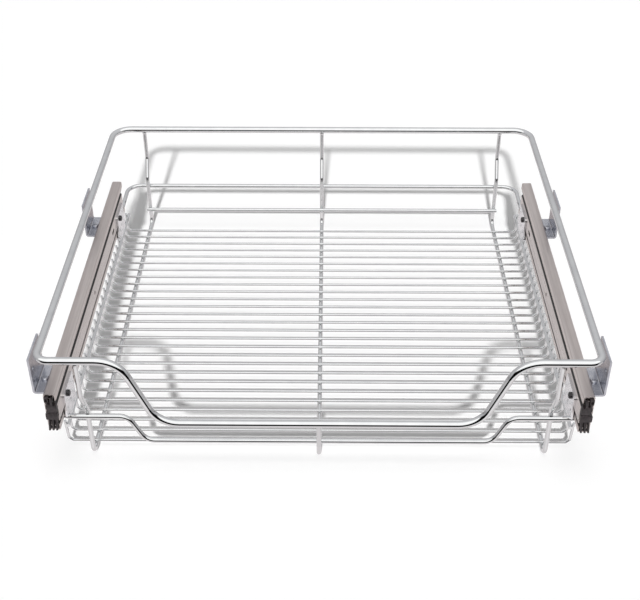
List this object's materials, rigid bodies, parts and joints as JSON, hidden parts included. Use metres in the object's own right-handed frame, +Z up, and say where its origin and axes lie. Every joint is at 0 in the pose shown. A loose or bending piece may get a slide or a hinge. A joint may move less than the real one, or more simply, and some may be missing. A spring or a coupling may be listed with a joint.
{
  "type": "pull out cabinet basket",
  "caption": "Pull-out wire basket for a kitchen base cabinet, with a dipped front rail, on ball-bearing slides with panel brackets.",
  "frame": {"origin": "on the surface that the basket stands on, under the middle of the object's box", "axes": "+Z up, -Y the way the basket pulls out of the cabinet, +X to the right seen from the front"},
  "size_m": [0.564, 0.5056, 0.1425],
  "materials": {
    "chrome_wire": "bright chrome plate on drawn steel wire",
    "slide_steel": "satin, warm grey zinc plate on rolled steel",
    "bracket_steel": "bluish zinc plate on sheet steel",
    "tab_steel": "bright zinc plate on sheet steel",
    "bearing_steel": "polished bearing balls",
    "black_plastic": "moulded black acetal",
    "black_rubber": "soft black bumper",
    "black_screw": "black-finished steel screws",
    "zinc_fastener": "zinc-plated screws, nuts and rivets"
  },
  "bodies": {
    "cabinet_mounting": {"left_cabinet_member": "slide_steel", "left_cabinet_member_bumper": "black_plastic", "left_rear_bumper": "black_rubber", "left_front_bracket": "bracket_steel", "left_front_slide_lug": "bracket_steel", "left_rear_bracket": "bracket_steel", "left_rear_slide_lug": "bracket_steel", "right_cabinet_member": "slide_steel", "right_cabinet_member_bumper": "black_plastic", "right_rear_bumper": "black_rubber", "right_front_bracket": "bracket_steel", "right_front_slide_lug": "bracket_steel", "right_rear_bracket": "bracket_steel", "right_rear_slide_lug": "bracket_steel", "bracket_screws": "zinc_fastener", "bracket_nuts": "zinc_fastener", "lug_rivets": "zinc_fastener"},
    "basket": {"top_rail_frame": "chrome_wire", "lower_rim_frame": "chrome_wire", "rear_middle_rail": "chrome_wire", "left_leg_wire": "chrome_wire", "centre_leg_wire": "chrome_wire", "right_leg_wire": "chrome_wire", "left_side_rail": "chrome_wire", "right_side_rail": "chrome_wire", "floor_cross_wires": "chrome_wire", "basket_tab_screws": "black_screw", "left_front_basket_tab": "tab_steel", "left_rear_basket_tab": "tab_steel", "left_drawer_member": "slide_steel", "left_drawer_member_cap": "black_plastic", "left_release_lever": "black_plastic", "right_front_basket_tab": "tab_steel", "right_rear_basket_tab": "tab_steel", "right_drawer_member": "slide_steel", "right_drawer_member_cap": "black_plastic", "right_release_lever": "black_plastic"},
    "left_middle": {"left_middle_member": "slide_steel", "left_middle_member_bumper": "black_plastic"},
    "left_outer_cage": {"left_outer_ball_cage": "slide_steel", "left_outer_balls": "bearing_steel"},
    "left_inner_cage": {"left_inner_ball_cage": "slide_steel", "left_inner_balls": "bearing_steel"},
    "right_middle": {"right_middle_member": "slide_steel", "right_middle_member_bumper": "black_plastic"},
    "right_outer_cage": {"right_outer_ball_cage": "slide_steel", "right_outer_balls": "bearing_steel"},
    "right_inner_cage": {"right_inner_ball_cage": "slide_steel", "right_inner_balls": "bearing_steel"}
  },
  "joints": [
    {"name": "basket_slide", "type": "slide", "parent": "cabinet_mounting", "child": "basket", "axis": [0, -1, 0], "range_m": [0, 0.4]},
    {"name": "left_middle_slide", "type": "slide", "parent": "cabinet_mounting", "child": "left_middle", "axis": [0, -1, 0], "range_m": [0, 0.2]},
    {"name": "left_outer_cage_slide", "type": "slide", "parent": "cabinet_mounting", "child": "left_outer_cage", "axis": [0, -1, 0], "range_m": [0, 0.1]},
    {"name": "left_inner_cage_slide", "type": "slide", "parent": "cabinet_mounting", "child": "left_inner_cage", "axis": [0, -1, 0], "range_m": [0, 0.3]},
    {"name": "right_middle_slide", "type": "slide", "parent": "cabinet_mounting", "child": "right_middle", "axis": [0, -1, 0], "range_m": [0, 0.2]},
    {"name": "right_outer_cage_slide", "type": "slide", "parent": "cabinet_mounting", "child": "right_outer_cage", "axis": [0, -1, 0], "range_m": [0, 0.1]},
    {"name": "right_inner_cage_slide", "type": "slide", "parent": "cabinet_mounting", "child": "right_inner_cage", "axis": [0, -1, 0], "range_m": [0, 0.3]}
  ],
  "couplings": [
    {"joint": "left_middle_slide", "follows": "basket_slide", "ratio": 0.5},
    {"joint": "left_outer_cage_slide", "follows": "basket_slide", "ratio": 0.25},
    {"joint": "left_inner_cage_slide", "follows": "basket_slide", "ratio": 0.75},
    {"joint": "right_middle_slide", "follows": "basket_slide", "ratio": 0.5},
    {"joint": "right_outer_cage_slide", "follows": "basket_slide", "ratio": 0.25},
    {"joint": "right_inner_cage_slide", "follows": "basket_slide", "ratio": 0.75}
  ]
}
